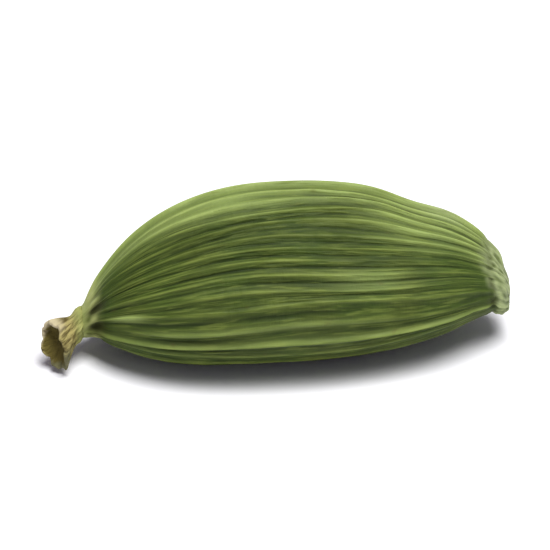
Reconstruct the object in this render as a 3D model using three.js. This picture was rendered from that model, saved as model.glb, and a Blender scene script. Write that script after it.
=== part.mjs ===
// A dried green cardamom pod, lying on one of its three faces.
// The husk is one closed body: a three-cornered, slightly arched spindle with lengthwise ribs and a
// stronger keel along each corner. The stalk is the short broken stub that the pod hung by, bent to
// one side, flattened and hollow at its torn end.
// Units are millimetres. +Z is up, +X runs from the stalk to the flower end, and the origin lies on
// the flat spot that the pod rests on, under the middle of the husk's length.
import * as THREE from "three";

const { degToRad, lerp, smoothstep } = THREE.MathUtils;

// Husk form. The long axis arches, and dips a little more at the very ends.
const HUSK_LENGTH = 17.7;
const HUSK_RADIUS = 3.46; // mean radius of the widest section, without the ribs
const STALK_HALF_FULLNESS = 3; // the higher, the nearer to its end a half stays wide
const FLOWER_HALF_FULLNESS = 2.06;
const STALK_END_TAPER = 0.753; // 0.5 rounds an end as on an ellipse, and 1 makes a cone of it
const FLOWER_END_TAPER = 0.607;
const CORNERS = 3;
const CORNER_RISE = 0.087; // share of the radius that a corner stands out, and a face falls in
const LEAN = degToRad(24); // how far the middle of the front face is turned up towards the back
const STALK_END_DROOP = 1.28;
const FLOWER_END_DROOP = 0.47;
const STALK_END_DIP = 0.5;
const FLOWER_END_DIP = 0.905;
const DIP_POWER = 12; // the higher, the nearer to the end each dip begins
const REST_CUT = 0.18; // depth of the flat resting spot in the lower face
const NECK_RADIUS = 0.67; // where the husk meets the stalk
const SCAR_RADIUS = 0.9; // the blunt flower end
const SCAR_ROUNDING = 0.025; // share of the length that rounds it off
const SCAR_SINK = 0.25; // depth of the hollow in the middle of it
const BLUNTING_REACH = 0.14; // share of the length that neck and scar blunt

// A shallow dent across the top corner, towards the flower end
const DENT_ALONG = 0.776;
const DENT_HALF_LENGTH = 0.07;
const DENT_HALF_TURN = 0.9; // radians
const DENT_DEPTH = 0.22;

// Small hollows round the neck, and a groove that sets off the blunt flower end, deepest low on the front
const NECK_HOLLOWS = 6;
const NECK_HOLLOW_ALONG = 0.03;
const NECK_HOLLOW_HALF_LENGTH = 0.016;
const NECK_HOLLOW_DEPTH = 0.25;
const GROOVE_ALONG = 0.948;
const GROOVE_HALF_LENGTH = 0.011;
const GROOVE_TURN = degToRad(195);
const GROOVE_DEPTH = 0.12;

// Ribs: one runs along each corner as a keel, and the others lie between, a little unevenly
const RIB_COUNT = 36;
const RIBS_PER_FACE = RIB_COUNT / CORNERS;
const RIB_HEIGHT = 0.15;
const KEEL_HEIGHT = 0.24;
const RIB_JITTER = 0.22; // largest sideways shift, in rib spacings
const RIB_WANDER = 0.14; // sideways sway along the rib, in rib spacings
const RIB_WAVES = 1.7; // sways in the husk's length
const RIB_BREAKS = 3.1; // rises and falls of a crest in the husk's length

// Stalk: a knuckle at the husk, then a slanting stub that flattens to a hollow, torn end
const STALK_REACH = new THREE.Vector3(-1.25, -1.42, -0.22); // from the husk to the middle of the torn end
const STALK_LENGTH = STALK_REACH.length();
const STALK_RADIUS = 0.62;
const STALK_KNUCKLE = 0.1;
const STALK_FLARE = 0.24;
const STALK_FLATTENING = 0.22; // share by which the torn end is broader one way and thinner the other
const HUSK_FACING = new THREE.Vector3(-1, 0, 0); // the way that the stalk's first section faces
const TORN_END_FACING = new THREE.Vector3(-0.76, -0.62, 0.2).normalize();
const STALK_BROAD_SIDE = new THREE.Vector3(-0.19, 0.71, 0.68).normalize();
const STALK_WALL = 0.26;
const STALK_BORE_DEPTH = 0.5;
const STALK_TEAR = 0.1; // how far the torn rim rises and falls
const STALK_FIBRES = 7;
const STALK_FIBRE_HEIGHT = 0.05;
const JOINT_GAP = 0.02; // hairline between husk and stalk

// Fineness of the surfaces
const COLUMNS_PER_RIB = 2; // a crest and a furrow
const HUSK_STATIONS = 42;
const STALK_COLUMNS = 28;
const STALK_STATIONS = 9;

const FULL_TURN = 2 * Math.PI;
const TOP = Math.PI / 2; // straight up in a section

// A repeatable number from -1 to 1 for an item and a purpose.
function scatter(item, purpose) {
  const wave = Math.sin(item * 12.9898 + purpose * 78.233) * 43758.5453;
  return 2 * (wave - Math.floor(wave)) - 1;
}

// The husk's share of its full radius at a place along it, 0 at the stalk and 1 at the flower end.
function fullness(along) {
  const fromMiddle = Math.abs(2 * along - 1);
  if (along < 0.5) return (1 - fromMiddle ** STALK_HALF_FULLNESS) ** STALK_END_TAPER;
  return (1 - fromMiddle ** FLOWER_HALF_FULLNESS) ** FLOWER_END_TAPER;
}

// Height of the long axis over the resting surface.
function axisHeight(along) {
  const middle = HUSK_RADIUS * (1 - CORNER_RISE) + RIB_HEIGHT - REST_CUT;
  const fromMiddle = 2 * along - 1;
  const droop = fromMiddle < 0 ? STALK_END_DROOP : FLOWER_END_DROOP;
  const dip = fromMiddle < 0 ? STALK_END_DIP : FLOWER_END_DIP;
  return middle - droop * fromMiddle ** 2 - dip * fromMiddle ** DIP_POWER;
}

// Radius that the neck and the flower scar keep where the husk would come to a point.
function blunting(along) {
  const toEnd = Math.min(along, 1 - along);
  const fade = 1 - smoothstep(toEnd, 0, BLUNTING_REACH);
  if (along < 0.5) return NECK_RADIUS * fade;
  const rounding = Math.max(0, 1 - toEnd / SCAR_ROUNDING);
  return SCAR_RADIUS * fade * Math.sqrt(1 - rounding ** 2);
}

// Direction in a section, for a turn that is counted from the top corner with the corners evenly spaced.
function leaning(fromCorner) {
  return TOP + fromCorner - (LEAN * (1 + Math.cos(fromCorner - Math.PI / CORNERS))) / 2;
}

// Sideways shift of a rib's crest, in rib spacings. The keels stay on their corners.
function ribShift(rib, along) {
  if (rib % RIBS_PER_FACE === 0) return 0;
  const sway = Math.sin(FULL_TURN * (RIB_WAVES * along + scatter(rib, 2)));
  return RIB_JITTER * scatter(rib, 1) + RIB_WANDER * sway;
}

// Height of a rib's crest. Every second rib runs out before the ends, where there is no room for it.
function crestHeight(rib, along) {
  const width = fullness(along);
  if (rib % RIBS_PER_FACE === 0) return KEEL_HEIGHT * smoothstep(width, 0, 0.3);
  const reach = rib % 2 === 0 ? smoothstep(width, 0.1, 0.5) : smoothstep(width, 0.35, 0.75);
  const breaks = Math.sin(FULL_TURN * (RIB_BREAKS * along + scatter(rib, 4)));
  return RIB_HEIGHT * reach * (0.72 + 0.16 * scatter(rib, 3) + 0.12 * breaks);
}

// Turn of a column from the top corner, and its height over the furrows. The column counts ribs.
function ribbing(column, along) {
  const rib = Math.floor(column) % RIB_COUNT;
  const next = (rib + 1) % RIB_COUNT;
  const part = column - Math.floor(column);
  const shift = lerp(ribShift(rib, along), ribShift(next, along), part);
  const crest = lerp(crestHeight(rib, along), crestHeight(next, along), part);
  return {
    fromCorner: ((column + shift) * FULL_TURN) / RIB_COUNT,
    relief: (crest * (1 + Math.cos(FULL_TURN * part))) / 2,
  };
}

// 1 at a middle, falling off smoothly on both sides.
function bump(value, middle, half) {
  return Math.exp(-(((value - middle) / half) ** 2));
}

// Depth of the dent, the neck's hollows and the groove at a place on the husk.
function hollow(fromCorner, along) {
  const wrapped = Math.atan2(Math.sin(fromCorner), Math.cos(fromCorner));
  const dent = DENT_DEPTH * bump(along, DENT_ALONG, DENT_HALF_LENGTH) * bump(wrapped, 0, DENT_HALF_TURN);
  const betweenRibs = (1 - Math.cos(NECK_HOLLOWS * fromCorner)) / 2;
  const neck = NECK_HOLLOW_DEPTH * betweenRibs * bump(along, NECK_HOLLOW_ALONG, NECK_HOLLOW_HALF_LENGTH);
  const lowFront = (1 + Math.cos(leaning(fromCorner) - GROOVE_TURN)) / 2;
  return dent + neck + GROOVE_DEPTH * lowFront * bump(along, GROOVE_ALONG, GROOVE_HALF_LENGTH);
}

// Places along the husk, closer together towards the blunt ends.
function stations(count) {
  return Array.from({ length: count }, (_, i) => (1 - Math.cos((Math.PI * i) / (count - 1))) / 2);
}

// The husk is turned from its long profile, and each point is then moved to its rib, corner and height.
function huskGeometry() {
  const alongs = [0, ...stations(HUSK_STATIONS)];
  const profile = alongs.map((along) => new THREE.Vector2(fullness(along), HUSK_LENGTH * (along - 0.5)));
  const geometry = new THREE.LatheGeometry(profile, RIB_COUNT * COLUMNS_PER_RIB);
  const points = geometry.attributes.position;
  for (let i = 0; i < points.count; i++) {
    const station = i % alongs.length;
    const along = alongs[station];
    const onAxis = station === 0 || station === alongs.length - 1;
    const { fromCorner, relief } = ribbing(Math.floor(i / alongs.length) / COLUMNS_PER_RIB, along);
    const corner = 1 + CORNER_RISE * Math.cos(CORNERS * fromCorner);
    const body = HUSK_RADIUS * fullness(along) * corner;
    const radius = onAxis ? 0 : Math.hypot(body, blunting(along)) + relief - hollow(fromCorner, along);
    const turn = leaning(fromCorner);
    const height = Math.max(0, axisHeight(along) + radius * Math.sin(turn));
    const sunk = along > 0.5 ? SCAR_SINK * (1 - smoothstep(radius / SCAR_RADIUS, 0.2, 0.8)) : 0;
    points.setXYZ(i, HUSK_LENGTH * (along - 0.5) - sunk, radius * Math.cos(turn), height);
  }
  geometry.computeVertexNormals();
  return geometry;
}

// Outline of half the stalk: its distance from the stalk's axis, and its distance from the husk.
function stalkProfile() {
  const outside = Array.from({ length: STALK_STATIONS }, (_, i) => {
    const share = i / (STALK_STATIONS - 1);
    const knuckle = STALK_KNUCKLE * Math.exp(-(((share - 0.2) / 0.1) ** 2));
    const flare = STALK_FLARE * smoothstep(share, 0.3, 1);
    return new THREE.Vector2(STALK_RADIUS + knuckle + flare, STALK_LENGTH * share);
  });
  const mouth = STALK_RADIUS + STALK_FLARE - STALK_WALL;
  const floor = STALK_LENGTH - STALK_BORE_DEPTH;
  return [
    new THREE.Vector2(0, 0),
    ...outside,
    new THREE.Vector2(mouth, STALK_LENGTH),
    new THREE.Vector2(mouth * 0.7, lerp(floor, STALK_LENGTH, 0.5)),
    new THREE.Vector2(mouth * 0.4, floor),
    new THREE.Vector2(0, floor),
  ];
}

// The stalk is turned from its outline, flattened, slanted and torn. Its sections turn as they go.
function stalkGeometry() {
  const start = new THREE.Vector3(-HUSK_LENGTH / 2 - JOINT_GAP, 0, axisHeight(0));
  const profile = stalkProfile();
  const geometry = new THREE.LatheGeometry(profile, STALK_COLUMNS);
  const points = geometry.attributes.position;
  for (let i = 0; i < points.count; i++) {
    const { x: out, y: reach } = profile[i % profile.length];
    const turn = (Math.floor(i / profile.length) * FULL_TURN) / STALK_COLUMNS;
    const tear = STALK_TEAR * (Math.sin(2 * turn + 1) + 0.6 * Math.sin(5 * turn));
    const share = reach / STALK_LENGTH;
    const toEnd = smoothstep(share, 0.3, 1);
    const fibre = 1 + STALK_FIBRE_HEIGHT * Math.cos(STALK_FIBRES * turn) * smoothstep(share, 0, 0.2);
    const forward = HUSK_FACING.clone().lerp(TORN_END_FACING, share).normalize();
    const narrow = forward.clone().cross(STALK_BROAD_SIDE).normalize();
    const broad = narrow.clone().cross(forward);
    const point = start.clone().addScaledVector(STALK_REACH, share);
    point.addScaledVector(forward, tear * smoothstep(share, 0.75, 1));
    point.addScaledVector(broad, out * fibre * (1 + STALK_FLATTENING * toEnd) * Math.cos(turn));
    point.addScaledVector(narrow, out * fibre * (1 - STALK_FLATTENING * toEnd) * Math.sin(turn));
    points.setXYZ(i, point.x, point.y, point.z);
  }
  geometry.computeVertexNormals();
  return geometry;
}

// A named piece with its own dry, matt finish.
function piece(name, geometry, color, roughness) {
  const mesh = new THREE.Mesh(geometry, new THREE.MeshStandardMaterial({ color, roughness, metalness: 0 }));
  mesh.name = name;
  return mesh;
}

const pod = new THREE.Group();
pod.name = "cardamom_pod";
pod.add(piece("husk", huskGeometry(), 0x8a9c58, 0.6));
pod.add(piece("stalk", stalkGeometry(), 0xa8965c, 0.75));

export default pod;
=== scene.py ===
"""A dried green cardamom pod on a white ground: a ribbed, papery husk and the torn stub of its stalk.

Both pieces keep the form of the solids that they stand for and add the finer relief. Lengths are metres.
+X runs from the stalk to the flower end, +Z is up, and the origin is under the middle of the pod.
"""
import math
from types import SimpleNamespace
from typing import NamedTuple

import bpy
import numpy as np
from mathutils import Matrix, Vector, noise


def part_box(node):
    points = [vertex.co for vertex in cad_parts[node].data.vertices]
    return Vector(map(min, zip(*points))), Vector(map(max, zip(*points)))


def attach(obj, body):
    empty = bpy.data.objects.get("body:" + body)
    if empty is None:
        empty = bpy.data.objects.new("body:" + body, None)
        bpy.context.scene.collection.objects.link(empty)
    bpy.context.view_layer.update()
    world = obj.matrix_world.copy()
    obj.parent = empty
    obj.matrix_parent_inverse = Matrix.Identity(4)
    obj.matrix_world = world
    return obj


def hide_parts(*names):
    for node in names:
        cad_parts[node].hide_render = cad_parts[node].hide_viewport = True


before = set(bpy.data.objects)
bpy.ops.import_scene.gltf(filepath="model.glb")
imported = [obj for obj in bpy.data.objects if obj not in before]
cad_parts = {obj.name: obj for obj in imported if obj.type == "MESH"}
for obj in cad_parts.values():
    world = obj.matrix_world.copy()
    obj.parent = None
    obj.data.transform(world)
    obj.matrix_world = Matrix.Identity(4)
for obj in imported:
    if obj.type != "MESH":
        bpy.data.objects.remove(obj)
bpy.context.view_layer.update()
husk_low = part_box("husk")[0]

MM = 0.001
TURN = 2 * math.pi
TOP = math.pi / 2  # direction of the top corner in a section


class Patch(NamedTuple):
    """A soft patch of colour on the husk. Its half sizes are in rib spacings and in husk lengths."""

    rib: float
    along: float
    half_ribs: float
    half_length: float
    strength: float


def srgb(red, green, blue):
    """A colour as it looks on screen, 0 to 255, as the linear colour that shaders use."""
    shares = (value / 255 for value in (red, green, blue))
    return (*((s / 12.92 if s < 0.04045 else ((s + 0.055) / 1.055) ** 2.4) for s in shares), 1)


# Husk form, as the solid has it. Places along the husk are shares of its length, from the stalk.
HUSK_LENGTH = -2 * husk_low.x
HUSK_RADIUS = 3.46 * MM
STALK_HALF_FULLNESS = 3
FLOWER_HALF_FULLNESS = 2.06
STALK_END_TAPER = 0.753
FLOWER_END_TAPER = 0.607
CORNERS = 3
CORNER_RISE = 0.087
LEAN = math.radians(24)
STALK_END_DROOP = 1.28 * MM
FLOWER_END_DROOP = 0.47 * MM
STALK_END_DIP = 0.5 * MM
FLOWER_END_DIP = 0.905 * MM
DIP_POWER = 12
REST_CUT = 0.18 * MM
NECK_RADIUS = 0.67 * MM
SCAR_RADIUS = 0.9 * MM
SCAR_ROUNDING = 0.025
SCAR_SINK = 0.25 * MM
BLUNTING_REACH = 0.14
DENT_ALONG = 0.776
DENT_HALF_LENGTH = 0.07
DENT_HALF_TURN = 0.9
DENT_DEPTH = 0.22 * MM
GROOVE_ALONG = 0.948
GROOVE_HALF_LENGTH = 0.011
GROOVE_TURN = math.radians(195)
GROOVE_DEPTH = 0.12 * MM

# Ribs, as the solid has them
RIB_COUNT = 36
RIBS_PER_FACE = RIB_COUNT // CORNERS
RIB_HEIGHT = 0.15 * MM
KEEL_HEIGHT = 0.24 * MM
RIB_JITTER = 0.22
RIB_WANDER = 0.14
RIB_WAVES = 1.7
RIB_BREAKS = 3.1

# Finer relief of the ribs, in rib spacings across. A pair of numbers is where a thing comes in or dies out.
RIB_FINE_BREAKS = 8.7
LONG_RIB_FULLNESS = (0.1, 0.5)  # every second rib dies out as the husk narrows to this share of its radius
SHORT_RIB_FULLNESS = (0.45, 0.95)  # the ribs between them die out sooner
LONG_FOLD_FULLNESS = (0.2, 0.5)
ROOM_FULLNESS = (0.25, 0.7)  # where the furrows are wide enough for fibres
CREST_HALF_WIDTH = 0.13
CREST_SHARPNESS = 0.65  # the share of a crest that is a narrow ridge, the rest is a plain wave
CREST_BREAK_LENGTH = 4 * MM
FIBRES_PER_FURROW = 2
FIBRE_HALF_WIDTH = 0.07
FIBRE_HEIGHT = 0.03 * MM
FIBRE_LENGTH = 5 * MM
FOLD_HALF_WIDTH = 0.14
FOLD_DEPTH = 0.07 * MM
FOLD_LENGTH = 5 * MM
PUCKER_HEIGHT = 0.006 * MM
PUCKER_WIDTH = 0.35 * MM
PUCKER_LENGTH = 0.4 * MM
SWELL_HEIGHT = 0.03 * MM
SWELL_WIDTH = 2.5 * MM
SWELL_LENGTH = 4 * MM

# Top keel: rounder towards the stalk, where it takes in the ribs beside it
ROUND_KEEL_END = (0.34, 0.62)
ROUND_KEEL_WIDENING = (0.03, 0.25)
ROUND_KEEL_HALF_WIDTH_AT_NECK = 0.7 * MM
ROUND_KEEL_HALF_WIDTH = 1.6 * MM
KEEL_SWELL = 0.08 * MM
TROUGH_DEPTH = 0.1 * MM  # beside the round stretch
BEYOND_NECK = (0.03, 0.12)  # where the swell and the trough come in

# Neck
NECK_HOLLOWS = 9
NECK_HOLLOW_TURN = math.radians(70)
NECK_HOLLOW_ALONG = 0.03
NECK_HOLLOW_HALF_LENGTH = 0.018
NECK_HOLLOW_DEPTH = 0.3 * MM
COLLAR_START = (0, 0.01)
COLLAR_END = (0.02, 0.045)
BEAD_HEIGHT = 0.06 * MM
BEAD_WIDTH = 0.36 * MM
BEAD_LENGTH = 0.5 * MM

# Flower end: a ragged pale ring, the crown, round the sunk scar
CRINKLE_START = (0.84, 0.92)
CRINKLE_HEIGHT = 0.05 * MM
CROWN_PLEATS = 23
CROWN_PLEAT_HEIGHT = 0.04 * MM
CROWN_RAGGEDNESS = 0.12 * MM
CROWN_FADE_BELOW = 0.002
CROWN_FADE_ABOVE = 0.03
CROWN_FULL = 0.012  # how far past the groove it is at its palest
CROWN_EDGE_SWAY = 0.014
CROWN_EDGE_BEADS = 0.006
CROWN_EDGE_RISE = 0.007  # how much nearer to the stalk it comes on the upper side
CROWN_WRINKLES_END = (0.98, 1)
GROOVE_SWAY = 0.01
SCAR_SLOPE = (0.2, 0.8)  # in scar radii from the middle, as the next two
SCAR_COLOUR_END = (0.3, 0.75)
RAGGED_START = (0.4, 0.9)
CREASE_HALF_LENGTH = 0.006
CREASE_DEPTH = 0.07 * MM
UNEVEN_WIDTH = 0.9 * MM
UNEVEN_LENGTH = 1.5 * MM
FLECK_HEIGHT = 0.055 * MM
FLECK_WIDTH = 0.2 * MM
FLECK_LENGTH = 0.28 * MM

# Pale and dark markings of the husk, among them a painted highlight and painted shade
KEEL_BAND_WIDENING = (0, 0.25)
KEEL_BAND_AT_NECK = 0.9 * MM
KEEL_BAND = 2 * MM
KEEL_DIMMING = (0.35, 0.5)
KEEL_DIMMED = 0.72
LOW_KEEL_HALF_WIDTH = 0.35
SHOULDER_START = (0.58, 0.76)
SHOULDER_NARROWING = (0.76, 0.9)
SHOULDER_REACH = 3.3 * MM
SHOULDER_REACH_AT_END = 2.3 * MM
HIGHLIGHT_ALONG = 0.845  # the middle of the painted highlight on the top keel, its palest stretch
HIGHLIGHT_HALF_LENGTH = 0.05
HIGHLIGHT_EDGE = (0.3 * MM, 0.9 * MM)
PALE_RIB = 11  # pale along most of its length
PALE_RIB_HALF_WIDTH = 0.2
PALE_RIB_START = (0.1, 0.2)
PALE_RIB_END = (0.5, 0.75)
PALE_CREST_END = (0.15, 0.4)
TROUGH_SHADE_END = (0.3, 0.45)
NECK_COLOUR_END = (0.018, 0.05)
PALE_START = Patch(rib=10, along=0.1, half_ribs=0.32, half_length=0.035, strength=1.3)  # pale, at the neck
GLOW = Patch(rib=8.3, along=0.66, half_ribs=0.8, half_length=0.09, strength=0.5)  # pale, beside the streak
STREAK = Patch(rib=6.9, along=0.68, half_ribs=0.5, half_length=0.1, strength=0.6)  # short and dark
SHADE_UNDER_KEEL = Patch(rib=4.9, along=0.5, half_ribs=1.2, half_length=0.22, strength=0.45)  # painted shade, under the top keel

# Mesh of the husk
COLUMNS_PER_RIB = 16
HUSK_COLUMNS = RIB_COUNT * COLUMNS_PER_RIB
HUSK_RINGS = 168
HUSK_HALVINGS = 2  # the sphere starts coarse, and its edges are halved this many times
AXIS_TOLERANCE = 1e-6

# Stalk, as the solid has it. Places along the stalk are shares of its length, from the husk.
STALK_REACH = Vector((-1.25, -1.42, -0.22)) * MM
STALK_LENGTH = STALK_REACH.length
STALK_RADIUS = 0.62 * MM
STALK_KNUCKLE = 0.1 * MM
STALK_KNUCKLE_ALONG = 0.2
STALK_KNUCKLE_HALF_LENGTH = 0.1
STALK_FLARE = 0.24 * MM
STALK_FLARING = (0.3, 1)
STALK_FLATTENING = 0.22
HUSK_FACING = Vector((-1, 0, 0))
TORN_END_FACING = Vector((-0.76, -0.62, 0.2)).normalized()
STALK_BROAD_SIDE = Vector((-0.19, 0.71, 0.68)).normalized()
STALK_TEAR = 0.1 * MM
STALK_TEARING = (0.75, 1)

# Finer form of the stalk
STALK_ROOT = 0.12 * MM  # how far it is sunk into the neck
STALK_FLUTES = 7
STALK_FLUTE_SHARE = 0.05
STALK_FINE_FLUTES = 12
STALK_FINE_FLUTE_SHARE = 0.03
STALK_RIM = 0.14 * MM
STALK_MOUTH_DEPTH = 0.42 * MM
STALK_MOUTH_STEPS = ((0.3, 0.95), (0.4, 0.85), (0.3, 0.7))  # share of the depth, then how it narrows
STALK_MOUTH_FLOOR = 0.2  # inset of the mouth's floor, as a share of the stalk's radius
STALK_WRINKLE = 0.08 * MM
STALK_WRINKLE_WIDTH = 0.12 * MM
STALK_WRINKLE_LENGTH = 0.1 * MM
STALK_GRAIN_LENGTH = 0.6  # of the stalk in its grain, in stalk radii
STALK_TORN = (0.6, 0.9)  # where its colours turn to those of the torn end
STALK_SIDES = 42
STALK_STATIONS = 14
STALK_HALVINGS = 2

# Colours of the dry skin, the torn stalk and the ground, and of the painted light and shade on them
FACE_GREEN = srgb(57, 76, 17)
FACE_OLIVE = srgb(66, 79, 21)
FURROW_AND_SHADE_GREEN = srgb(31, 46, 6)
CREST_GREEN = srgb(101, 119, 47)
CREST_STRAW = srgb(120, 134, 59)
KEEL_PALE = srgb(153, 171, 96)
# the crown's own pale colour, also used for the painted highlight on the top keel
CROWN_AND_HIGHLIGHT_PALE = srgb(160, 172, 120)
PIT_SHADE_BROWN = srgb(40, 44, 8)
NECK_GREEN = srgb(172, 180, 110)
STALK_GREEN = srgb(148, 154, 88)
STALK_TAN = srgb(160, 149, 90)
STALK_LIT_PALE = srgb(190, 178, 142)
STALK_BROWN = srgb(86, 75, 35)
STALK_SHADE_OLIVE = srgb(96, 98, 70)
HOLLOW_BROWN = srgb(98, 88, 40)
GROUND_WHITE = (0.86, 0.86, 0.87, 1)

# Grain of the materials, in lumps to the metre
SKIN_PATCHES = 420
SKIN_STRAW = 1800
SKIN_SPECKS = 2600
SKIN_FIBRES = 3600
SKIN_WRINKLES = 4200
SKIN_THREADS = 9500
STALK_BLOTCHES = 1800
STALK_STRANDS = 9000

# Depth of the materials
SKIN_BUMP = 0.2 * MM
STALK_BUMP = 0.15 * MM
BUMP_STRENGTH = 0.9
SKIN_LIGHT_REACH = (0.6 * MM, 0.8 * MM, 0.3 * MM)  # of red, green and blue, times the shader's scale

# View: the photograph's angle, close enough for the pod to fill the picture
VIEW_AZIMUTH = math.radians(-5)
VIEW_ELEVATION = math.radians(33)
VIEW_TARGET = Vector((-0.89, 0.06, 3.17)) * MM
VIEW_WIDTH = 22.55 * MM
LENS = 500  # in millimetres, as the sensor is
SENSOR = 36

# Ground and light
GROUND_SIZE = 1.2
GROUND_DROP = 0.01 * MM
LIGHT_PLACE = Vector((0.06, -0.05, 0.4))
LIGHT_AIM = Vector((0, 0, 3 * MM))
LIGHT_SIZE = 0.28
LIGHT_POWER = 2.62
SURROUND_COLOUR = (0.83, 0.76, 1, 1)
SURROUND_STRENGTH = 0.24


class Shade:
    """A shader socket. Arithmetic on it adds Math nodes, and add() makes any other node."""

    def __init__(self, tree, socket=None):
        self.tree = tree
        self.socket = socket

    def add(self, kind, settings, inputs, output=0):
        """A new node's output. Settings are set first, then each input's value or link."""
        node = self.tree.nodes.new(kind)
        for name, value in settings.items():
            setattr(node, name, value)
        for name, value in inputs.items():
            feed(node, name, value)
        return Shade(self.tree, node.outputs[output])

    def math(self, operation, first, second):
        return self.add("ShaderNodeMath", {"operation": operation}, {0: first, 1: second})

    def __add__(self, other):
        return self.math("ADD", self, other)

    def __mul__(self, other):
        return self.math("MULTIPLY", self, other)

    def __rsub__(self, other):
        return self.math("SUBTRACT", other, self)

    __radd__ = __add__
    __rmul__ = __mul__

    def step(self, none, full):
        """0 up to none, 1 from full on, smooth between. It falls where none is above full."""
        settings = {"interpolation_type": "SMOOTHSTEP"}
        return self.add("ShaderNodeMapRange", settings, {"Value": self, "From Min": none, "From Max": full})

    def blend(self, under, over):
        """The colour under, painted over where this mask is 1."""
        # The Mix node takes its colours at sockets 6 and 7 and gives one at 2.
        return self.add("ShaderNodeMix", {"data_type": "RGBA"}, {0: self, 6: under, 7: over}, 2)

    def attribute(self, name, output="Fac"):
        """What store() kept for each point."""
        return self.add("ShaderNodeAttribute", {"attribute_name": name}, {}, output)

    def stretch(self, across, along):
        """A place in the grain, scaled across the fibres and along them."""
        return self.add("ShaderNodeMapping", {}, {"Vector": self, "Scale": (across, across, along)})

    def noise(self, place, scale, detail=2):
        return self.add("ShaderNodeTexNoise", {}, {"Vector": place, "Scale": scale, "Detail": detail})

    def bumped(self, height, distance):
        """Normals that show a height too fine for the mesh."""
        inputs = {"Strength": BUMP_STRENGTH, "Distance": distance, "Height": height}
        return self.add("ShaderNodeBump", {}, inputs)


def feed(node, name, value):
    """Links a shade to a node's input, or sets a plain value."""
    if isinstance(value, Shade):
        value.tree.links.new(value.socket, node.inputs[name])
    else:
        node.inputs[name].default_value = value


def finish(name, build):
    """A material whose shader inputs are set by build(shade, shader)."""
    material = bpy.data.materials.new(name)
    material.use_nodes = True
    tree = material.node_tree
    build(Shade(tree), tree.nodes["Principled BSDF"])
    return material


def husk_finish(shade, skin):
    """Papery skin: dark furrows, partly painted shade, paler broken crests, pale keels and flower end, a
    painted highlight on the top keel, painted shade under it, in the pits at the neck and in the groove of
    the flower end.
    """
    crest = shade.attribute("crest")
    furrow = shade.attribute("furrow")
    room = shade.attribute("room")
    grain = shade.attribute("grain", "Vector")
    place = shade.add("ShaderNodeTexCoord", {}, {}, "Object")
    patches = shade.noise(place, SKIN_PATCHES, 3).step(0.35, 0.65)
    straw = shade.noise(grain.stretch(1, 0.3), SKIN_STRAW).step(0.3, 0.7)
    specks = shade.noise(grain.stretch(1, 0.5), SKIN_SPECKS).step(0.66, 0.8)
    long_fibres = shade.noise(grain.stretch(1, 0.12), SKIN_FIBRES)
    wrinkles = shade.noise(grain.stretch(0.5, 1), SKIN_WRINKLES)
    threads = shade.noise(grain.stretch(1, 0.08), SKIN_THREADS)

    colour = patches.blend(FACE_GREEN, FACE_OLIVE)
    # Darker furrows: partly their own darker green, partly painted shade in the deep folds.
    colour = (furrow * 0.8).blend(colour, FURROW_AND_SHADE_GREEN)
    colour = (long_fibres.step(0.5, 0.75) * 0.3).blend(colour, CREST_GREEN)
    colour = (threads.step(0.52, 0.36) * room * 0.5).blend(colour, FURROW_AND_SHADE_GREEN)
    ridge = straw.blend(CREST_GREEN, CREST_STRAW)
    colour = (crest * (0.4 + 0.6 * straw)).blend(colour, ridge)
    pale = shade.attribute("keel") * (0.4 + 0.8 * long_fibres) * (1 - 0.6 * furrow)
    colour = pale.blend(colour, KEEL_PALE)
    colour = (threads.step(0.54, 0.66) * room * 0.35).blend(colour, CREST_STRAW)
    # Painted shade under the top keel and in the trough beside it, with a short dark streak.
    colour = shade.attribute("painted_shade_and_streak").blend(colour, FURROW_AND_SHADE_GREEN)
    colour = (specks * 0.3).blend(colour, STALK_BROWN)
    # The crown's own pale colour, and the painted highlight on the top keel that shares its mask.
    colour = (shade.attribute("crown") * 0.85).blend(colour, CROWN_AND_HIGHLIGHT_PALE)
    colour = shade.attribute("scar").blend(colour, STALK_BROWN)
    colour = shade.attribute("neck").blend(colour, NECK_GREEN)
    # Painted shade in the neck's hollows and in the groove and crease of the flower end.
    colour = (shade.attribute("pit_shade") * 0.9).blend(colour, PIT_SHADE_BROWN)
    feed(skin, "Base Color", colour)
    feed(skin, "Roughness", 0.68 - 0.12 * crest)
    feed(skin, "Specular IOR Level", 0.22)
    feed(skin, "Subsurface Weight", 0.08)
    feed(skin, "Subsurface Radius", SKIN_LIGHT_REACH)
    fine_relief = (long_fibres * 0.4 + threads * 0.4 + wrinkles * 0.2) * (0.25 + 0.75 * room)
    feed(skin, "Normal", shade.bumped(fine_relief, SKIN_BUMP))


def stalk_finish(shade, wood):
    """Dry fibrous stub: yellow-green at the husk, tan, painted light above, painted shade below, brown in
    the hollow.
    """
    reach = shade.attribute("reach")
    hollow = shade.attribute("hollow")
    grain = shade.attribute("grain", "Vector")
    strands = shade.noise(grain, STALK_STRANDS, 3)
    blotches = shade.noise(grain, STALK_BLOTCHES, 3)
    colour = strands.step(0.34, 0.64).blend(STALK_BROWN, STALK_TAN)
    colour = (blotches.step(0.48, 0.62) * 0.6).blend(colour, STALK_BROWN)
    colour = (reach.step(0.6, 0.15) * 0.8).blend(colour, STALK_GREEN)
    # Painted light on the upper side of the torn end.
    colour = (shade.attribute("upper") * 0.9).blend(colour, STALK_LIT_PALE)
    # Painted shade on the underside of the torn end.
    colour = (shade.attribute("shaded_underside") * 0.7).blend(colour, STALK_SHADE_OLIVE)
    colour = hollow.blend(colour, HOLLOW_BROWN)
    feed(wood, "Base Color", colour)
    feed(wood, "Roughness", 0.72 + 0.2 * hollow)
    feed(wood, "Specular IOR Level", 0.25)
    feed(wood, "Normal", shade.bumped(strands, STALK_BUMP))


def ground_finish(shade, ground):
    """Plain matt white."""
    feed(ground, "Base Color", GROUND_WHITE)
    feed(ground, "Roughness", 0.9)
    feed(ground, "Specular IOR Level", 0.1)


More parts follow.
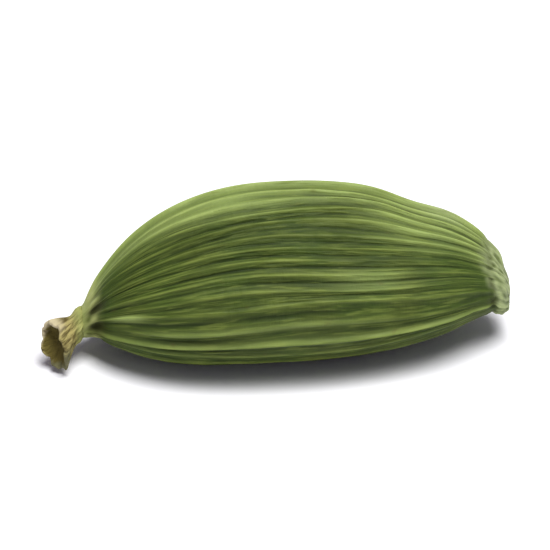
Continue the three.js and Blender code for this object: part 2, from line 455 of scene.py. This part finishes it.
def smooth(value, low, high):
    """0 below low, 1 above high, smooth between."""
    share = np.clip((value - low) / (high - low), 0, 1)
    return share * share * (3 - 2 * share)


def fall(value, low, high):
    """1 below low, 0 above high, smooth between."""
    return smooth(-value, -high, -low)


def mix(first, second, share):
    """The first at a share of 0, the second at 1."""
    return first + (second - first) * share


def bump(value, middle, half):
    """1 at a middle, falling off smoothly on both sides."""
    return np.exp(-(((value - middle) / half) ** 2))


def scatter(item, purpose):
    """A repeatable number from -1 to 1 for an item and a purpose."""
    wave = np.sin(item * 12.9898 + purpose * 78.233) * 43758.5453
    return 2 * (wave - np.floor(wave)) - 1


def waves(item, purpose, along, count):
    """A repeatable ripple from -1 to 1 along an item."""
    return np.sin(TURN * (count * along + scatter(item, purpose)))


def roughen(places, width, length):
    """Smooth noise from about -1 to 1 at each place, in lumps of a width on X and Y and a length on Z."""
    scaled = places / np.array((width, width, length))
    return np.array([noise.noise(Vector(place)) for place in scaled])


def dashes(item, along, length):
    """Noise from about -1 to 1 that comes and goes along an item, in dashes of about a length."""
    return roughen(np.stack([item * 7.31, item * 3.17, along * HUSK_LENGTH], 1), 1, length)


def fullness(along):
    """The husk's share of its full radius, from the stalk at 0 to the flower end at 1."""
    from_middle = np.abs(2 * along - 1)
    stalk_half = (1 - from_middle**STALK_HALF_FULLNESS) ** STALK_END_TAPER
    flower_half = (1 - from_middle**FLOWER_HALF_FULLNESS) ** FLOWER_END_TAPER
    return np.where(along < 0.5, stalk_half, flower_half)


def axis_height(along):
    """Height of the husk's long axis over the ground."""
    middle = HUSK_RADIUS * (1 - CORNER_RISE) + RIB_HEIGHT - REST_CUT
    from_middle = 2 * along - 1
    droop = np.where(from_middle < 0, STALK_END_DROOP, FLOWER_END_DROOP)
    dip = np.where(from_middle < 0, STALK_END_DIP, FLOWER_END_DIP)
    return middle - droop * from_middle**2 - dip * from_middle**DIP_POWER


def blunting(along):
    """Radius that the neck and the flower scar keep where the husk would come to a point."""
    to_end = np.minimum(along, 1 - along)
    fade = 1 - smooth(to_end, 0, BLUNTING_REACH)
    rounding = np.maximum(0, 1 - to_end / SCAR_ROUNDING)
    scar = SCAR_RADIUS * np.sqrt(1 - rounding**2)
    return fade * np.where(along < 0.5, NECK_RADIUS, scar)


def leaning(from_corner):
    """Direction in a section, for a turn counted from the top corner with the corners evenly spaced."""
    return TOP + from_corner - LEAN * (1 + np.cos(from_corner - math.pi / CORNERS)) / 2


def low_front(turn):
    """1 in the direction in which the groove is deepest, low on the front, and 0 opposite."""
    return (1 + np.cos(turn - GROOVE_TURN)) / 2


def dent(from_corner, along):
    """Depth of the shallow dent across the top corner."""
    wrapped = np.arctan2(np.sin(from_corner), np.cos(from_corner))
    return DENT_DEPTH * bump(along, DENT_ALONG, DENT_HALF_LENGTH) * bump(wrapped, 0, DENT_HALF_TURN)


def neck_pits(from_corner, along):
    """1 in the small hollows round the neck. The top keel runs down between them."""
    between = (1 + np.cos(NECK_HOLLOWS * (from_corner - NECK_HOLLOW_TURN))) / 2
    off_keel = smooth(1 - np.cos(from_corner), 0, 0.4)
    return between * off_keel * bump(along, NECK_HOLLOW_ALONG, NECK_HOLLOW_HALF_LENGTH)


def rib_shift(rib, along):
    """Sideways shift of a rib, in rib spacings. The keels stay on their corners."""
    sway = RIB_WANDER * waves(rib, 2, along, RIB_WAVES)
    return np.where(rib % RIBS_PER_FACE == 0, 0, RIB_JITTER * scatter(rib, 1) + sway)


def crest_height(rib, along):
    """Height of a rib's crest. Every second rib runs out before the ends."""
    width = fullness(along)
    keel = KEEL_HEIGHT * smooth(width, 0, 0.3)
    reach = np.where(rib % 2 == 0, smooth(width, *LONG_RIB_FULLNESS), smooth(width, *SHORT_RIB_FULLNESS))
    uneven = 0.72 + 0.16 * scatter(rib, 3) + 0.12 * waves(rib, 4, along, RIB_BREAKS)
    uneven += 0.05 * waves(rib, 6, along, RIB_FINE_BREAKS)
    return np.where(rib % RIBS_PER_FACE == 0, keel, RIB_HEIGHT * reach * uneven)


def fibres(rib, part, along):
    """Height of the fine broken fibres in the furrow after a rib, as a share of the highest."""
    height = np.zeros_like(along)
    for fibre in range(FIBRES_PER_FURROW):
        item = rib * FIBRES_PER_FURROW + fibre
        strength = 0.5 + 0.4 * scatter(item, 11) + 0.9 * dashes(item + 100, along, FIBRE_LENGTH)
        place = (fibre + 1 + 0.15 * scatter(item, 12)) / (FIBRES_PER_FURROW + 1)
        height += np.clip(strength, 0, 1) * bump(part, place, FIBRE_HALF_WIDTH)
    return height


def folds(rib, part, along):
    """1 in the deepest stretches of the furrows, which open and close along the husk."""
    width = fullness(along)
    reach = np.where(rib % 2 == 0, smooth(width, *LONG_FOLD_FULLNESS), smooth(width, *SHORT_RIB_FULLNESS))
    strength = np.clip(0.55 + 0.35 * scatter(rib, 8) + 0.9 * dashes(rib, along, FOLD_LENGTH), 0, 1)
    return strength * bump(part, 0.5 + 0.1 * scatter(rib, 10), FOLD_HALF_WIDTH) * reach


def store(piece, name, values):
    """Keeps one number or vector for each of a piece's points, for its material."""
    kind, key = ("FLOAT_VECTOR", "vector") if values.ndim == 2 else ("FLOAT", "value")
    layer = piece.data.attributes.new(name, kind, "POINT")
    layer.data.foreach_set(key, values.astype(np.float32).ravel())


def points_of(piece):
    """The places of a piece's points, one row each."""
    points = np.empty(len(piece.data.vertices) * 3)
    piece.data.vertices.foreach_get("co", points)
    return points.reshape(-1, 3)


def divide(piece, halvings, kind):
    """Divides each face of the selected piece, and smooths the form unless the kind is SIMPLE."""
    finer = piece.modifiers.new("finer", "SUBSURF")
    finer.subdivision_type = kind
    finer.levels = halvings
    bpy.ops.object.modifier_apply(modifier=finer.name)


def divided_sphere():
    """A fine sphere with its poles on Z. Dividing a coarse one is much quicker than adding a fine one."""
    bpy.ops.object.select_all(action="DESELECT")
    share = 2**HUSK_HALVINGS
    bpy.ops.mesh.primitive_uv_sphere_add(segments=HUSK_COLUMNS // share, ring_count=HUSK_RINGS // share)
    sphere = bpy.context.object
    divide(sphere, HUSK_HALVINGS, "SIMPLE")
    return sphere


def husk_layout(ball):
    """Where the points of a sphere come to lie on the husk: rings along the pod, columns along the ribs."""
    at = SimpleNamespace()  # it gathers arrays with one value for each point
    at.along = np.clip((1 + ball[:, 2]) / 2, 0, 1)
    at.on_axis = np.hypot(ball[:, 0], ball[:, 1]) < AXIS_TOLERANCE
    at.column = np.arctan2(ball[:, 1], ball[:, 0]) / TURN * RIB_COUNT % RIB_COUNT
    at.rib = np.floor(at.column).astype(int) % RIB_COUNT
    at.following = (at.rib + 1) % RIB_COUNT
    at.part = at.column - np.floor(at.column)
    at.nearest = np.where(at.part < 0.5, at.rib, at.following)
    at.from_rib = np.minimum(at.part, 1 - at.part)

    shift = mix(rib_shift(at.rib, at.along), rib_shift(at.following, at.along), at.part)
    at.from_corner = (at.column + shift) * TURN / RIB_COUNT
    at.turn = leaning(at.from_corner)
    at.width = fullness(at.along)
    corner = 1 + CORNER_RISE * np.cos(CORNERS * at.from_corner)
    at.body = np.hypot(HUSK_RADIUS * at.width * corner, blunting(at.along))
    at.from_top = np.minimum(at.column, RIB_COUNT - at.column) * TURN / RIB_COUNT * at.body
    return at


def add_lumps(at):
    """Noise in lumps of several sizes. The grain is that of a straight tube with the ribs along it."""
    plain = at.column * TURN / RIB_COUNT
    tube = [np.cos(plain), np.sin(plain), at.along * HUSK_LENGTH / HUSK_RADIUS]
    at.grain = np.stack(tube, 1) * HUSK_RADIUS
    at.pucker = roughen(at.grain, PUCKER_WIDTH, PUCKER_LENGTH)
    at.swell = roughen(at.grain, SWELL_WIDTH, SWELL_LENGTH)
    body = np.stack([at.body * np.cos(at.turn), at.body * np.sin(at.turn), at.along * HUSK_LENGTH], 1)
    at.beads = roughen(body, BEAD_WIDTH, BEAD_LENGTH)
    at.uneven = roughen(body, UNEVEN_WIDTH, UNEVEN_LENGTH)
    at.flecks = roughen(body, FLECK_WIDTH, FLECK_LENGTH)


def add_ribs(at):
    """Ribs with broken crests, fibres and folds in the furrows, and crinkles low at the flower end."""
    at.crinkled = smooth(at.along, *CRINKLE_START) * smooth(low_front(at.turn), 0.5, 0.9)
    crest = mix(crest_height(at.rib, at.along), crest_height(at.following, at.along), at.part)
    at.crest = crest * (1 - 0.6 * at.crinkled)
    at.narrow = bump(at.from_rib, 0, CREST_HALF_WIDTH)
    at.ridge = (1 - CREST_SHARPNESS) * (1 + np.cos(TURN * at.part)) / 2 + CREST_SHARPNESS * at.narrow
    strength = np.clip(0.95 + 0.5 * dashes(at.nearest + 300, at.along, CREST_BREAK_LENGTH), 0.5, 1.2)
    strength = mix(strength, 0.9, smooth(at.from_rib, 0.2, 0.5))
    at.strength = np.where(at.nearest % RIBS_PER_FACE == 0, 1, strength)
    at.room = smooth(at.width, *ROOM_FULLNESS)
    at.fine = fibres(at.rib, at.part, at.along) * at.room * (1 - at.crinkled)
    at.fold = folds(at.rib, at.part, at.along)


def round_top_keel(at):
    """Merges the ribs beside the top keel into it towards the stalk, and marks the trough beyond them."""
    by_stalk = fall(at.along, *ROUND_KEEL_END)
    widening = smooth(at.along, *ROUND_KEEL_WIDENING)
    half_width = mix(ROUND_KEEL_HALF_WIDTH_AT_NECK, ROUND_KEEL_HALF_WIDTH, widening)
    at.merged = by_stalk * fall(at.from_top, 0.65 * half_width, half_width)
    at.lined = at.merged * (0.5 + 0.5 * at.ridge)
    at.ridge = np.where(at.nearest == 0, at.ridge, at.ridge * (1 - 0.7 * at.merged))
    at.fine = at.fine * (1 - at.merged)
    at.fold = at.fold * (1 - at.merged)
    beyond_neck = smooth(at.along, *BEYOND_NECK)
    at.swollen = beyond_neck * at.merged
    at.trough = beyond_neck * by_stalk * bump(at.from_top, 1.35 * half_width, 0.35 * half_width)


def add_ends(at):
    """The hollows of the neck, and the crown of the flower end with its groove and crease."""
    at.pits = neck_pits(at.from_corner, at.along)
    upper = np.sin(at.turn)
    edge = at.along + CROWN_EDGE_SWAY * at.uneven + CROWN_EDGE_BEADS * at.beads
    edge += CROWN_EDGE_RISE * smooth(upper, 0, 0.9)
    fade = mix(CROWN_FADE_BELOW, CROWN_FADE_ABOVE, smooth(upper, -0.3, 0.8))
    at.crown = smooth(edge, GROOVE_ALONG - fade, GROOVE_ALONG + CROWN_FULL)
    at.pleat = np.cos(CROWN_PLEATS * at.turn + 3 * at.uneven)
    at.crease = bump(edge, GROOVE_ALONG, CREASE_HALF_LENGTH) * np.clip(0.8 + at.beads, 0, 1)
    groove = bump(at.along + GROOVE_SWAY * at.uneven, GROOVE_ALONG, GROOVE_HALF_LENGTH)
    at.groove = groove * low_front(at.turn) * np.clip(0.7 + 0.8 * at.beads, 0, 1)


def relief(at):
    """Height of the skin over the plain form of the husk."""
    height = at.crest * at.ridge * at.strength + FIBRE_HEIGHT * at.fine - FOLD_DEPTH * at.fold
    height += KEEL_SWELL * at.swollen - TROUGH_DEPTH * at.trough
    height += at.width * (PUCKER_HEIGHT * at.pucker * (1 - at.ridge) + SWELL_HEIGHT * at.swell)
    height += CRINKLE_HEIGHT * at.crinkled * at.beads
    collar = smooth(at.along, *COLLAR_START) * fall(at.along, *COLLAR_END)
    height += BEAD_HEIGHT * collar * at.beads - NECK_HOLLOW_DEPTH * at.pits
    wrinkled = at.crown * fall(at.along, *CROWN_WRINKLES_END)
    height += wrinkled * (CROWN_PLEAT_HEIGHT * at.pleat + FLECK_HEIGHT * at.flecks)
    height -= CREASE_DEPTH * at.crease + GROOVE_DEPTH * at.groove
    return height - dent(at.from_corner, at.along)


def husk_places(at):
    """The points of the finished husk, with the scar sunk and the crown ragged. It rests on a flat spot."""
    radius = np.where(at.on_axis, 0, at.body + relief(at))
    at.from_scar = radius / SCAR_RADIUS
    sunk = np.where(at.along > 0.5, SCAR_SINK * fall(at.from_scar, *SCAR_SLOPE), 0)
    ragged = CROWN_RAGGEDNESS * at.crown * (at.uneven + 0.6 * at.beads)
    ragged *= smooth(at.from_scar, *RAGGED_START)
    lengthwise = HUSK_LENGTH * (at.along - 0.5) - sunk + ragged
    height = np.maximum(0, axis_height(at.along) + radius * np.sin(at.turn))
    return np.stack([lengthwise, radius * np.cos(at.turn), height], 1)


def patch(at, spot):
    """How much of a soft patch shows at each point."""
    across = bump(at.column, spot.rib, spot.half_ribs)
    return spot.strength * across * bump(at.along, spot.along, spot.half_length)


def paleness(at):
    """How pale the skin is: on the keels, on the shoulder before the flower end, and on a few ribs."""
    band = mix(KEEL_BAND_AT_NECK, KEEL_BAND, smooth(at.along, *KEEL_BAND_WIDENING)) * (1 + 0.25 * at.swell)
    keel = fall(at.from_top, 0.5 * band, band) * mix(1, KEEL_DIMMED, smooth(at.along, *KEEL_DIMMING))
    reach = mix(SHOULDER_REACH, SHOULDER_REACH_AT_END, smooth(at.along, *SHOULDER_NARROWING))
    shoulder = smooth(at.along, *SHOULDER_START) * fall(at.from_top, 0.5 * reach, reach)
    pale = np.maximum(np.maximum(keel, shoulder) * (0.4 + 0.8 * at.ridge), at.lined)
    for low_corner in range(1, CORNERS):
        pale += 0.35 * bump(at.column, low_corner * RIBS_PER_FACE, LOW_KEEL_HALF_WIDTH)
    stretch = smooth(at.along, *PALE_RIB_START) * fall(at.along, *PALE_RIB_END)
    pale += 0.4 * bump(at.column, PALE_RIB, PALE_RIB_HALF_WIDTH) * stretch
    return pale + patch(at, GLOW) + patch(at, PALE_START)


def husk_masks(at):
    """What the husk's material has to know at each point, by the names it asks for."""
    paler = 1.2 + 0.5 * fall(at.along, *PALE_CREST_END)
    crest = at.narrow * at.strength * at.crest / RIB_HEIGHT * paler + 0.35 * at.fine
    # The furrows' darker green, and painted shade in their deep folds.
    furrow = at.fold + 0.3 * (1 - at.ridge) * (1 - at.fine) * (1 - at.merged)
    # A painted highlight: the top keel paler before the flower end, kept in the crown's mask.
    highlight = bump(at.along, HIGHLIGHT_ALONG, HIGHLIGHT_HALF_LENGTH) * fall(at.from_top, *HIGHLIGHT_EDGE)
    painted_highlight = 0.7 * highlight * (0.3 + 0.7 * at.ridge)
    speckled = np.clip(0.75 + 0.9 * at.flecks + 0.15 * at.pleat + 0.4 * at.beads, 0.25, 1)
    scar = fall(at.from_scar + 0.35 * at.flecks + 0.1 * at.pleat, *SCAR_COLOUR_END)
    # Painted shade where the hollows of the neck, the groove and the crease sink in.
    pit_shade = 1.4 * at.pits + 0.6 * at.groove + 0.3 * at.crease
    # Painted shade in the trough beside the round stretch of the top keel.
    trough_shade = 0.2 * at.trough * fall(at.along, *TROUGH_SHADE_END)
    neck = fall(at.along, *NECK_COLOUR_END) * np.clip(0.85 + 0.9 * at.beads, 0, 1)
    return {
        "crest": np.clip(crest, 0, 1),
        "furrow": np.clip(furrow, 0, 1),
        "keel": np.clip(paleness(at), 0, 1) * (1 - at.crown),
        # the crown's pale ring, with the painted highlight on the top keel
        "crown": np.maximum(at.crown * speckled, painted_highlight),
        "scar": np.where(at.along > 0.9, scar, 0),
        "pit_shade": np.clip(pit_shade, 0, 1),
        "room": at.room,
        # painted shade under the top keel and in its trough, with a short dark streak
        "painted_shade_and_streak": np.clip(patch(at, SHADE_UNDER_KEEL) + patch(at, STREAK) + trough_shade, 0, 1),
        "neck": neck,
        "grain": at.grain,
    }


def make_husk():
    """A fine sphere moved into the husk's shape, with what its material needs stored on its points."""
    husk = divided_sphere()
    husk.name = "husk_skin"
    at = husk_layout(points_of(husk))
    add_lumps(at)
    add_ribs(at)
    round_top_keel(at)
    add_ends(at)
    husk.data.vertices.foreach_set("co", husk_places(at).ravel())
    husk.data.update()
    bpy.ops.object.shade_smooth()
    for name, values in husk_masks(at).items():
        store(husk, name, values)
    husk.data.materials.append(finish("husk_skin", husk_finish))
    return husk


def stalk_radius(share):
    """Radius of the stalk at a share of its length, before it is flattened."""
    knuckle = STALK_KNUCKLE * bump(share, STALK_KNUCKLE_ALONG, STALK_KNUCKLE_HALF_LENGTH)
    return STALK_RADIUS + knuckle + STALK_FLARE * smooth(share, *STALK_FLARING)


def stalk_flattening(share):
    """How much broader one way and thinner the other the stalk is."""
    return STALK_FLATTENING * smooth(share, *STALK_FLARING)


def grow(step, thin, broad):
    """Draws the selected end of the stalk out along X and resizes it."""
    bpy.ops.mesh.extrude_region_move(TRANSFORM_OT_translate={"value": (step, 0, 0)})
    bpy.ops.transform.resize(value=(1, thin, broad))


def stalk_blank():
    """The stalk while it is straight: a fluted stub along X, flared, flattened and hollowed at its end."""
    bpy.ops.object.select_all(action="DESELECT")
    facing = (0, math.pi / 2, 0)
    bpy.ops.mesh.primitive_circle_add(vertices=STALK_SIDES, radius=1, fill_type="NGON", rotation=facing)
    blank = bpy.context.object
    bpy.ops.object.transform_apply(location=False)
    for vertex in blank.data.vertices:
        angle = math.atan2(vertex.co.z, vertex.co.y)
        flute = 1 + STALK_FLUTE_SHARE * math.cos(STALK_FLUTES * angle)
        flute += STALK_FINE_FLUTE_SHARE * math.cos(STALK_FINE_FLUTES * angle + 1)
        vertex.co *= stalk_radius(0) * flute
    bpy.ops.object.mode_set(mode="EDIT")
    bpy.ops.mesh.select_all(action="SELECT")
    shares = np.linspace(0, 1, STALK_STATIONS + 1)
    thin = stalk_radius(shares) * (1 - stalk_flattening(shares))
    broad = stalk_radius(shares) * (1 + stalk_flattening(shares))
    for station in range(STALK_STATIONS):
        after = station + 1
        grow(STALK_LENGTH / STALK_STATIONS, thin[after] / thin[station], broad[after] / broad[station])
    bpy.ops.mesh.inset(thickness=STALK_RIM)
    for share, narrowing in STALK_MOUTH_STEPS:
        grow(-STALK_MOUTH_DEPTH * share, narrowing, narrowing)
    bpy.ops.mesh.inset(thickness=STALK_RADIUS * STALK_MOUTH_FLOOR)
    bpy.ops.object.mode_set(mode="OBJECT")
    return blank


def tear(blank):
    """Moves the rim of the stalk in and out along X, as it tore, with a few long fibres."""
    for vertex in blank.data.vertices:
        angle = math.atan2(vertex.co.z, vertex.co.y)
        near_rim = float(smooth(vertex.co.x / STALK_LENGTH, *STALK_TEARING))
        fibre = 0.7 * scatter(round(angle * STALK_SIDES / TURN), 9)
        wave = math.sin(2 * angle + 1) + 0.6 * math.sin(5 * angle) + fibre
        vertex.co.x += STALK_TEAR * wave * near_rim


def stalk_masks(straight, share, angle):
    """What the stalk's material has to know at each point, by the names it asks for."""
    flattening = stalk_flattening(share)
    outside = stalk_radius(np.clip(share, 0, 1))
    spread = np.hypot(straight[:, 1] / (1 - flattening), straight[:, 2] / (1 + flattening)) / outside
    mouth = 1 - STALK_RIM / (STALK_RADIUS + STALK_FLARE)
    near_mouth = share > 1 - 1.5 * STALK_MOUTH_DEPTH / STALK_LENGTH
    torn = smooth(share, *STALK_TORN)
    return {
        "reach": share,
        "hollow": smooth(mouth - spread, -0.02, 0.08) * near_mouth,
        # painted light on the upper side of the torn end
        "upper": torn * smooth(np.sin(angle), 0.3, 0.9),
        # painted shade on the underside of the torn end
        "shaded_underside": torn * smooth(-np.sin(angle), 0.3, 0.9),
    }


def slant(stalk):
    """Sets the straight stub on the neck. Its sections turn from the husk to the way the torn end faces."""
    start = Vector((husk_low.x, 0, axis_height(0)))
    root = STALK_ROOT / STALK_LENGTH
    for vertex in stalk.data.vertices:
        share = vertex.co.x / STALK_LENGTH
        held = min(max(share, 0), 1)
        sunk = HUSK_FACING * STALK_ROOT * min(0, held / root - 1)
        forward = HUSK_FACING.lerp(TORN_END_FACING, held).normalized()
        narrow = forward.cross(STALK_BROAD_SIDE).normalized()
        broad = narrow.cross(forward)
        torn = forward * STALK_LENGTH * (share - held)
        middle = start + STALK_REACH * max(0, held - root) / (1 - root) + sunk + torn
        vertex.co = middle + broad * vertex.co.z + narrow * vertex.co.y


def make_stalk():
    """A straight stub, torn, smoothed and wrinkled, then slanted from the neck."""
    stalk = stalk_blank()
    stalk.name = "stalk_stub"
    tear(stalk)
    divide(stalk, STALK_HALVINGS, "CATMULL_CLARK")
    straight = points_of(stalk)
    share = straight[:, 0] / STALK_LENGTH
    angle = np.arctan2(straight[:, 2], straight[:, 1])
    grain = np.stack([np.cos(angle), np.sin(angle), STALK_GRAIN_LENGTH * share], 1) * STALK_RADIUS
    wrinkle = STALK_WRINKLE * roughen(grain, STALK_WRINKLE_WIDTH, STALK_WRINKLE_LENGTH)
    wrinkle *= smooth(share, 0, 0.1)
    straight[:, 1] += wrinkle * np.cos(angle)
    straight[:, 2] += wrinkle * np.sin(angle)
    stalk.data.vertices.foreach_set("co", straight.ravel())
    for name, values in stalk_masks(straight, share, angle).items():
        store(stalk, name, values)
    store(stalk, "grain", grain)
    slant(stalk)
    stalk.data.update()
    bpy.ops.object.shade_smooth()
    stalk.data.materials.append(finish("stalk_wood", stalk_finish))
    return stalk


def add_camera():
    """A long lens at the photograph's angle."""
    back = Vector((
        math.sin(VIEW_AZIMUTH) * math.cos(VIEW_ELEVATION),
        -math.cos(VIEW_AZIMUTH) * math.cos(VIEW_ELEVATION),
        math.sin(VIEW_ELEVATION),
    ))
    bpy.ops.object.camera_add(location=VIEW_TARGET + back * VIEW_WIDTH * LENS / SENSOR)
    camera = bpy.context.object
    camera.rotation_euler = back.to_track_quat("Z", "Y").to_euler()
    camera.data.lens = LENS
    camera.data.sensor_width = SENSOR
    bpy.context.scene.camera = camera


def add_ground():
    """A white ground, just under the pod so that the two don't share a face."""
    bpy.ops.object.select_all(action="DESELECT")
    bpy.ops.mesh.primitive_plane_add(size=GROUND_SIZE, location=(0, 0, -GROUND_DROP))
    ground = bpy.context.object
    ground.name = "ground"
    ground.data.materials.append(finish("white_ground", ground_finish))


def add_light():
    """A square soft light high above, a little to the front and the right, and an even, faint surround."""
    bpy.ops.object.light_add(type="AREA", location=LIGHT_PLACE)
    lamp = bpy.context.object
    lamp.name = "key"
    lamp.rotation_euler = (LIGHT_PLACE - LIGHT_AIM).to_track_quat("Z", "Y").to_euler()
    lamp.data.size = LIGHT_SIZE
    lamp.data.energy = LIGHT_POWER
    world = bpy.data.worlds.new("surround")
    world.use_nodes = True
    sky = world.node_tree.nodes["Background"]
    feed(sky, "Color", SURROUND_COLOUR)
    feed(sky, "Strength", SURROUND_STRENGTH)
    bpy.context.scene.world = world
    bpy.context.scene.view_settings.view_transform = "Standard"


for piece, node in ((make_husk(), "husk"), (make_stalk(), "stalk")):
    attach(piece, "root")
    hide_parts(node)
add_camera()
add_ground()
add_light()
